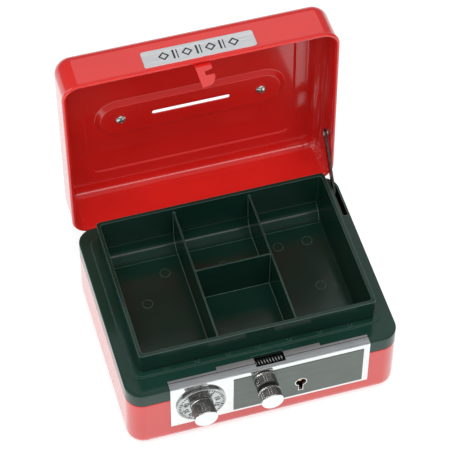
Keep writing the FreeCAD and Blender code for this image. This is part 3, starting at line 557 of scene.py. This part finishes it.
# ------------------------------------------------------------------ base pan
def base_pan():
    """Drawn pan with four cups for the screws and openings for the lock in its front wall."""
    edge = 7.0
    walls = (12.0, 20.0, 28.0, 36.0, BASE_TOP - 0.25)
    outside = [round_rect(8.0, 4.0, 1.5, 0.0), round_rect(60.0, 40.0, 3.0, 0.0)]
    outside += insets([(12.0, 0.0)] + arc(edge, edge, edge, 270, 180, 9) + [(0.0, z) for z in walls])
    rim = insets([(0.12, BASE_TOP - 0.04), (SHEET / 2, BASE_TOP), (SHEET - 0.12, BASE_TOP - 0.04)])
    inside = insets([(SHEET, z) for z in walls[::-1]] + arc(edge, edge, edge - SHEET, 180, 270, 8))
    inside += insets([(12.0, SHEET)])
    inside += [round_rect(60.0, 40.0, 3.0, SHEET), round_rect(8.0, 4.0, 1.5, SHEET)]
    cup = [(3.1, 0.72), (3.6, 1.05), (4.2, 1.65), (4.4, 2.0), (4.4, 2.4), (4.0, 2.8)]
    bm = carve(loft(outside + rim + inside), [lathe(cup, p, "Z", 32) for p in SCREW_POSTS], "UNION")
    cuts = [lathe([(4.3, -0.1), (3.6, 0.5), (3.6, 2.0)], p, "Z", 32) for p in SCREW_POSTS]
    wall = (FRONT - 1, FRONT + 1.3)
    cuts.append(lathe([(2.5, wall[0]), (2.5, wall[1])], DIAL, "Y", 24))
    cuts.append(slab((-7.0, 16.8), wall, (25.5, 39.0)))
    cuts.append(lathe([(3.6, wall[0]), (3.6, wall[1])], KEYHOLE, "Y", 24))
    cuts.append(slab((18.2, 21.4), wall, (19.6, 27.5)))
    piece("base_pan", carve(bm, cuts), "base", "red_paint", ("base_shell",), smooth=40)


base_pan()


# ------------------------------------------------------------------ top frame
def frame_moulding():
    """Moulded frame: band, deck and the raised step round the tray's well, on four posts."""
    edge, under_deck, well_foot, skirt = 0.8, DECK_Z - 2.0, 41.0, 33.0
    band = [(0.15, BAND_Z), (0.0, BAND_Z + 0.15), (0.0, 42.0)] + arc(edge, DECK_Z - edge, edge, 180, 90, 4)
    step = [(141.2, 99.5, 6.4, DECK_Z), (140.5, 98.8, 6.1, DECK_Z + 0.12), (140.2, 98.5, 6.0, DECK_Z + 0.4),
            (140.2, 98.5, 6.0, STEP_Z - 0.4), (139.9, 98.2, 5.9, STEP_Z - 0.12), (139.3, 97.6, 5.7, STEP_Z)]
    well = [(131.0, 93.0, 5.4, STEP_Z), (130.3, 92.3, 5.1, STEP_Z - 0.12), (130.0, 92.0, 5.0, STEP_Z - 0.4),
            (130.0, 92.0, 5.0, well_foot), (133.0, 95.0, 6.5, well_foot), (133.0, 95.0, 6.5, under_deck)]
    rings = insets(band + [(2.4, DECK_Z)]) + [round_rect(*ring, WELL_Y) for ring in step + well]
    rings += insets([(2.3, under_deck), (2.3, skirt), (1.1, skirt), (1.1, BAND_Z)])
    behind_plate = [slab((-54.5, 59.0), (FRONT + 1.2, FRONT + 4), (32.0, 45.5)),
                    slab((-54.5, 59.0), (FRONT, FRONT + 4), (32.0, 38.25))]
    stay_slot = [slab((71.9, 74.7), (28.5, 51.5), (30, 60)), slab((71.9, 73.85), (51.0, 54.1), (30, 60))]
    latch_gaps = [slab((-5.4, 11.6), (-57.4, -49.8), (40, 60)),
                  slab((-7.0, 35.0), (FRONT - 1, FRONT + 1.3), (37.0, 45.5))]
    leaf_gaps = [slab(sorted((s * 24.5, s * 45.5)), (55.0, BACK + 1), (42.5, 60)) for s in (-1, 1)]
    notches = [slab((i * 17.2 - 0.9, i * 17.2 + 0.9), (-45.8, -43.6), (47.8, 50)) for i in range(-3, 4)]
    bm = carve(loft(rings, closed=True), behind_plate + stay_slot + latch_gaps + leaf_gaps + notches)
    posts = [lathe([(3.2, 2.85), (3.2, 46.0)], p, "Z", 32) for p in SCREW_POSTS]
    piece("frame_moulding", merge([bm] + posts), "base", "dark_plastic", ("top_frame",),
          material=LIT_FRAME_PLASTIC, smooth=35)


frame_moulding()


# ------------------------------------------------------------------ coin tray
def scoop(x0, x1, r):
    """A curve from the tray's floor up to its back wall, which leans back, meeting both without a step."""
    slope, back_at_ground = 0.075, 42.35
    yc = back_at_ground + slope * (TRAY_FLOOR + r) - r * math.sqrt(1 + slope * slope)
    top = 90.0 - math.degrees(math.atan(slope))
    turn = [math.radians(3.0 + (top - 3.0) * i / 18) for i in range(19)]
    section = [(yc, 35.3), (yc, TRAY_FLOOR)]
    section += [(yc + r * math.sin(t), TRAY_FLOOR + r - r * math.cos(t)) for t in turn]
    behind = section[-1][0] + 0.5
    section += [(behind, section[-1][1] + 0.1), (behind, 35.3)]
    return loft([[Vector((x, y, z)) for y, z in section] for x in (x0, x1)])


def divider(x, y, middle, axis):
    """A wall across the tray, thicker at its foot than at its top."""
    foot, height = 35.0, 26.0
    bm = slab(x, y, (foot, foot + height), 0.22)
    for v in bm.verts:
        v.co[axis] = middle + (v.co[axis] - middle) * (1.25 - 0.5 * (v.co.z - foot) / height)
    return bm


def tray_moulding():
    """Lift-out tray: a lower body, a wider upper part that rests on the step, and four pockets."""
    bottom, under_rim, lip = TRAY_FLOOR - 1.5, STEP_Z + 0.05, TRAY_TOP - 0.4
    outside = [(8, 4, 1.5, bottom), (80, 50, 3.0, bottom), (123.4, 85.3, 2.4, bottom),
               (125.6, 87.5, 3.2, bottom + 0.4), (126.4, 88.3, 3.6, bottom + 1.4),
               (128.6, 90.5, 4.0, under_rim), (130.9, 92.8, 2.2, under_rim),
               (131.4, 93.3, 2.4, under_rim + 0.3), (131.8, 93.7, 2.4, 56.0), (132.18, 94.08, 2.4, lip)]
    rim = [(132.1, 94.0, 2.35, TRAY_TOP - 0.12), (131.8, 93.7, 2.3, TRAY_TOP), (128.3, 90.2, 1.8, TRAY_TOP),
           (128.0, 89.9, 1.75, TRAY_TOP - 0.1), (127.8, 89.7, 1.7, lip)]
    inside = [(126.4, 88.3, 1.7, 54.0), (124.9, 86.8, 1.7, 44.0), (123.9, 85.8, 1.8, 37.6),
              (123.4, 85.3, 1.8, 36.5), (122.6, 84.5, 1.6, 35.8), (121.4, 83.3, 1.4, TRAY_FLOOR),
              (80, 50, 3.0, TRAY_FLOOR), (8, 4, 1.5, TRAY_FLOOR)]
    shell = loft([round_rect(*ring, WELL_Y) for ring in outside + rim + inside])
    parts = [shell, scoop(-62.3, 62.3, 9.0)]
    for x in (-DIVIDER_X, DIVIDER_X):
        parts.append(divider((x - 0.7, x + 0.7), (-42.6, 47.2), x, 0))
    parts.append(divider((-21.5, 21.5), (CROSS_Y - 0.7, CROSS_Y + 0.7), CROSS_Y, 1))
    ring = [(2.8, 35.3), (2.8, 35.51), (2.62, 35.57), (2.48, 35.57), (2.3, 35.51)]
    ejectors = [(-48, -26), (-48, 8), (-33, 26), (-33, -30), (0, -28)]
    ejectors += [(0, 22), (33, -30), (48, -6), (33, 26), (50, 26)]
    parts += [lathe(ring, p, "Z", 32) for p in ejectors]
    piece("tray_moulding", merge(parts), "tray", "dark_plastic", ("coin_tray",), smooth=35)


tray_moulding()

# ------------------------------------------------------------------ everything that keeps its CAD form
# Each node and how far its edges are rounded.
ROUNDED = (
    ("lid_tongue", 0.15), ("hinge_leaf_left", 0.15), ("hinge_leaf_right", 0.15), ("hinge_pin_left", 0.15),
    ("hinge_pin_right", 0.15), ("handle_post_left", 0.35), ("handle_post_right", 0.35),
    ("handle_screws", 0.12), ("handle_bail", 0.3), ("stay_arm", 0.15), ("stay_rivet", 0.25),
    ("lock_plate", 0.12), ("lock_faceplate", 0.05),
    ("dial_spindle", 0.15), ("drive_wheel", 0.1), ("middle_wheel", 0.1), ("rear_wheel", 0.1),
    ("spacer_washers", 0.05), ("fence_lever", 0.1), ("fence_pivot", 0.1), ("release_spindle", 0.1),
    ("latch_bolt", 0.1), ("bolt_guide_studs", 0.1), ("key_bolt", 0.1), ("key_bolt_studs", 0.1),
    ("key_lever_front", 0.08), ("key_lever_rear", 0.08), ("lever_pivot", 0.1), ("drill_pin", 0.1),
    ("lock_case", 0.15), ("lock_nuts", 0.2), ("frame_screws", 0.15))
for node, width in ROUNDED:
    from_cad(node, width, material=DARK_STEEL if node == "stay_arm" else None,
             second=[(LIP_STEEL, lambda f: f.normal.z > 0.25)] if node == "lock_plate" else ())

# The coil gets a mesh of its own. The real coil shortens from its far end as the bolt is thrown.
spring = from_cad("latch_spring", 0.0, material=SPRING_STEEL)
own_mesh(spring)


# ------------------------------------------------------------------ knobs
TEETH, TOOTH_DEPTH = 28, 0.42


def knurl_profile(r, y0, y1, rows, chamfer):
    """Rows of (radius, y) from the front face to the back, rounded at the front corner."""
    out = [(0.4, y0), (r - chamfer - 0.4, y0), (r - chamfer, y0 + 0.03), (r - 0.12, y0 + chamfer - 0.1)]
    out.append((r, y0 + chamfer + 0.15))
    out += [(r, y0 + chamfer + 0.3 + (y1 - y0 - chamfer - 0.6) * k / rows) for k in range(rows + 1)]
    out += [(r - 0.25, y1 - 0.05), (0.4, y1)]
    return out


def diamond(first, last):
    """Depth of a diamond knurl at an angle, on the rows from first to last."""
    pitch = 0.34

    def ripple(a, k):
        if not first <= k <= last:
            return 0.0
        u = TEETH * a / (2 * math.pi)
        v = (k - first) * pitch
        one = abs(((u + v) % 1.0) - 0.5) * 2
        two = abs(((u - v) % 1.0) - 0.5) * 2
        return TOOTH_DEPTH * (1 - min(one, two)) ** 1.5
    return ripple


def knob(name, centre, r, y0, y1, body, node, rows=18, chamfer=0.45, cap=MATS["chrome_plate"]):
    """A knurled grip with a plain cap on its front face and painted shade in its valleys."""
    bm = lathe(knurl_profile(r, y0, y1, rows, chamfer), centre, "Y", TEETH * 6, diamond(5, 4 + rows))
    end = y0 + chamfer + 0.2

    def valley(f):
        c = f.calc_center_median()
        return c.y > end and math.hypot(c.x - centre[0], c.z - centre[1]) < r - 0.5 * TOOTH_DEPTH

    piece(name, bm, body, "chrome_plate", (node,), material=KNURL, smooth=50, weighted=False,
          second=[(cap, lambda f: f.calc_center_median().y < end), (KNURL_VALLEY_SHADE, valley)])


knob("dial_grip", DIAL, 6.45, DIAL_FRONT - 9.7, DIAL_FRONT - 0.1, "dial", "dial_knob")
# the collar's front face, which faces the groove, is painted shade
knob("bushing_collar", KNOB, 6.15, INLAY_FRONT - 7.4, INLAY_FRONT - 0.02, "base", "knob_bushing",
     14, 0.3, GROOVE_SHADE)
neck = INLAY_FRONT - 7.5
knob("release_grip", KNOB, 6.15, neck - 8.6, neck - 1.8, "release", "release_knob", 14)
neck_profile = [(4.9, neck - 1.9), (5.2, neck - 1.7), (5.2, neck - 0.1), (4.9, neck)]
# painted shade: the chrome neck in the groove is shown near-black
piece("release_neck", lathe(neck_profile, KNOB, "Y", 48), "release", "chrome_plate", material=GROOVE_SHADE)


# ------------------------------------------------------------------ dial
def dial_face():
    r, bore, f, b = 13.8, 1.6, DIAL_FRONT, PLATE_FRONT - 0.2
    profile = [(bore, f), (r - 0.7, f), (r - 0.35, f + 0.12), (r - 0.05, f + 0.42), (r, f + 0.7)]
    profile += [(r, b - 0.2), (r - 0.2, b), (bore, b)]
    piece("dial_face", lathe(profile, DIAL, "Y", 96), "dial", "chrome_plate", ("dial_disc",),
          material=DIAL_METAL, smooth=30)


def ticks():
    """Fifty divisions round the dial, every fifth one longer and wider."""
    outer, count = 12.9, 50
    parts = []
    for i in range(count):
        length, half = (1.9, 0.40) if i % 5 == 0 else (1.4, 0.26)
        t = slab((-half, half), (DIAL_FRONT - 0.05, DIAL_FRONT + 0.05), (outer - length, outer))
        turn = Matrix.Rotation(2 * math.pi * i / count, 4, "Y")
        t.transform(Matrix.Translation((DIAL[0], 0, DIAL[1])) @ turn)
        parts.append(t)
    piece("dial_ticks", merge(parts), "dial", "black_plastic", material=INK, smooth=20, weighted=False)


def numerals():
    """Plain numbers 0 to 45 by fives."""
    reach, count = 8.95, 10
    parts = []
    for i in range(count):
        cu = bpy.data.curves.new("numeral", "FONT")
        cu.body = str(i * 5)
        cu.size = 3.9
        cu.offset = 0.11
        cu.extrude = 0.05
        cu.align_x = "CENTER"
        cu.align_y = "CENTER"
        cu.resolution_u = 3
        ob = bpy.data.objects.new("numeral", cu)
        bpy.context.scene.collection.objects.link(ob)
        me = shown_mesh(ob)
        bm = bmesh.new()
        bm.from_mesh(me)
        turn = Matrix.Rotation(2 * math.pi * i / count, 4, "Y")
        bm.transform(Matrix.Translation((DIAL[0], DIAL_FRONT, DIAL[1])) @ turn
                     @ Matrix.Translation((0, 0, reach)) @ Matrix.Rotation(math.radians(90), 4, "X"))
        parts.append(bm)
        bpy.data.objects.remove(ob)
        bpy.data.curves.remove(cu)
        bpy.data.meshes.remove(me)
    piece("dial_numerals", merge(parts), "dial", "black_plastic", material=INK, smooth=20, weighted=False)


def index_mark():
    """The triangle over the dial, pointing down at its top division."""
    y, tip = PLATE_FRONT - 0.04, DIAL[1] + 14.0
    corners = ((-0.9, 1.7), (0.9, 1.7), (0.0, 0.0))
    bm = bmesh.new()
    v = [bm.verts.new((DIAL[0] + x, depth, tip + z)) for depth in (y, y + 0.06) for x, z in corners]
    for side in ((0, 1, 2), (5, 4, 3), (0, 3, 4, 1), (1, 4, 5, 2), (2, 5, 3, 0)):
        bm.faces.new([v[i] for i in side])
    piece("dial_index", bm, "base", "black_plastic", material=INK, smooth=20, weighted=False)


dial_face()
ticks()
numerals()
index_mark()


# ------------------------------------------------------------------ keyhole
def keyhole_rim():
    """A thin bright edge standing round the keyhole in the inlay."""
    r, half, foot = 3.0, 1.1, 20.4
    reach = math.sqrt(r * r - half * half)
    start = math.atan2(-reach, half)
    sweep = 2 * math.pi - 2 * math.atan2(half, reach)
    turn = [start + i * sweep / 40 for i in range(41)]

    def outline(grow):
        x, z, edge = KEYHOLE[0], KEYHOLE[1], r + grow
        points = [(x + edge * math.cos(t), z + edge * math.sin(t)) for t in turn]
        return points + [(x - half - grow, foot - grow), (x + half + grow, foot - grow)]

    rings = [[Vector((x, INLAY_FRONT + y, z)) for x, z in outline(grow)]
             for grow, y in ((0.0, 0.0), (0.0, -0.05), (0.45, -0.05), (0.5, 0.05))]
    piece("keyhole_rim", loft(rings, closed=True), "base", "chrome_plate", smooth=30, weighted=False)


keyhole_rim()


# ------------------------------------------------------------------ label
def label():
    """A silver sheet on the lid's front wall, with a plain row of diamonds and pairs of bars."""
    w, h, pitch = 61.8, 11.8, 6.4
    place = OPEN @ Matrix.Translation((0.4, FRONT, 57.7)) @ Matrix.Rotation(math.radians(90), 4, "X")
    sheet = loft([round_rect(w, h, 1.5, 0.0), round_rect(w, h, 1.5, 0.25),
                  round_rect(w - 0.2, h - 0.2, 1.4, 0.36), round_rect(w - 0.6, h - 0.6, 1.3, 0.4)])
    piece("label_sheet", sheet, "lid", "silver_label", ("lid_label",), place, smooth=25)
    marks = []

    def bar(x, y, length, height, angle=0.0):
        b = slab((-length / 2, length / 2), (-height / 2, height / 2), (0.36, 0.43))
        b.transform(Matrix.Translation((x, y, 0)) @ Matrix.Rotation(angle, 4, "Z"))
        marks.append(b)

    for i in range(7):
        x = (i - 3) * pitch
        if i % 2 == 0:
            for a in (45, 135):
                t = math.radians(a)
                for out in (-1.75, 1.75):
                    across = t + math.pi / 2
                    bar(x + out * math.cos(across), out * math.sin(across), 4.3, 0.8, t)
        else:
            bar(x - 1.0, 0, 1.0, 6.4)
            bar(x + 1.0, 0, 0.6, 6.4)
    piece("label_marks", merge(marks), "lid", "black_plastic", (), place, INK, 20, False)


label()


# ------------------------------------------------------------------ floor and light
def floor():
    bm = bmesh.new()
    bmesh.ops.create_grid(bm, x_segments=2, y_segments=2, size=6.0)
    me = bpy.data.meshes.new("floor")
    bm.to_mesh(me)
    bm.free()
    ob = bpy.data.objects.new("floor", me)
    bpy.context.scene.collection.objects.link(ob)
    m, nt, b = new_mat("pale_floor")
    pales = [(0.3, (0.56, 0.64, 0.64)), (0.7, (0.58, 0.66, 0.66))]
    nt.links.new(ramp(nt, noise(nt, coords(nt), 3.0, 2.0), pales), b.inputs["Base Color"])
    b.inputs["Emission Color"].default_value = (1.0, 1.0, 1.0, 1.0)
    b.inputs["Emission Strength"].default_value = 0.54
    b.inputs["Roughness"].default_value = 0.9
    b.inputs["Specular IOR Level"].default_value = 0.1
    me.materials.append(m)


floor()


def softbox(name, place, aim, size, watts, seen=True):
    """A rectangular light in metres and watts. One that isn't seen leaves no reflection."""
    data = bpy.data.lights.new(name, "AREA")
    data.shape = "RECTANGLE"
    data.size, data.size_y = size
    data.energy = watts
    ob = bpy.data.objects.new(name, data)
    ob.location = place
    ob.rotation_euler = (Vector(aim) - Vector(place)).to_track_quat("-Z", "Y").to_euler()
    ob.visible_glossy = seen
    bpy.context.scene.collection.objects.link(ob)


AIM = (0.0, 0.02, 0.06)
softbox("key_left", (-1.3, 0.0, 1.0), AIM, (1.2, 1.1), 9.0)
softbox("top", (0.0, -0.62, 1.65), AIM, (1.8, 1.3), 26.0, seen=False)
softbox("strip", (0.25, -1.35, 1.15), AIM, (1.7, 0.30), 4.4)
softbox("back_top", (0.62, 1.42, 1.75), (0.0, 0.07, 0.15), (1.4, 1.0), 3.2)

world = bpy.data.worlds.new("studio")
bpy.context.scene.world = world
world.use_nodes = True
background = world.node_tree.nodes["Background"]
background.inputs["Color"].default_value = (1.0, 1.0, 1.0, 1.0)
background.inputs["Strength"].default_value = 0.26

view = bpy.context.scene.view_settings
view.view_transform = "Standard"
view.look = "None"
view.exposure = 0.0
